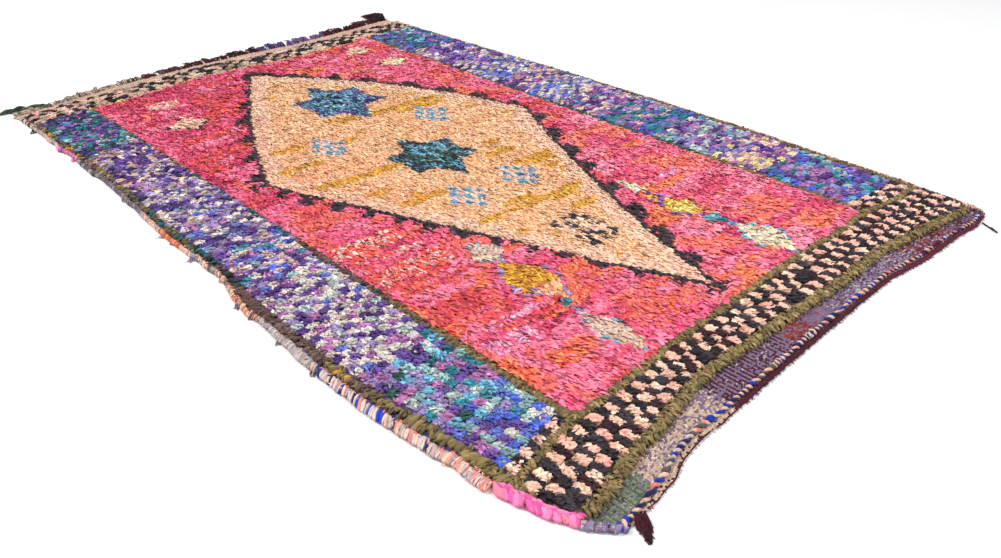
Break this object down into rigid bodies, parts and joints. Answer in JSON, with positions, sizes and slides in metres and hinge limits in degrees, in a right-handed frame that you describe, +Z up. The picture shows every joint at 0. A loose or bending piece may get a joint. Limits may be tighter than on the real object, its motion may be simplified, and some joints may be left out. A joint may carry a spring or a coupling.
{
  "type": "boucherouite rug",
  "caption": "Flat hand-knotted rag-pile rug with flat-woven ends, a toothed lozenge field, mottled side borders, overcast edges and a cut warp fringe at one end.",
  "frame": {"origin": "middle of the footprint, fringe and corner ends included, on the floor", "axes": "+Y along the warps from the near flat weave to the fringed end, +X across to the right-hand overcast edge, +Z up out of the pile"},
  "size_m": [1.5716, 2.5468, 0.02],
  "materials": {
    "rag_pile": "cut cotton and jersey rag pile, matt, many colours with pink leading",
    "rag_wrap_left": "rag strip overcasting, matt, pink to peach",
    "rag_wrap_right": "rag strip overcasting, matt, peach",
    "warp_ends": "cut yarn ends, matt, beige through maroon to lilac",
    "maroon_ends": "cut wool ends, matt maroon",
    "dark_ends": "knotted wool end, matt near black"
  },
  "bodies": {
    "root": {"rug": "rag_pile", "selvedge_left": "rag_wrap_left", "selvedge_right": "rag_wrap_right", "fringe_far": "warp_ends", "corner_tassel": "maroon_ends", "corner_tail": "dark_ends"}
  },
  "joints": []
}
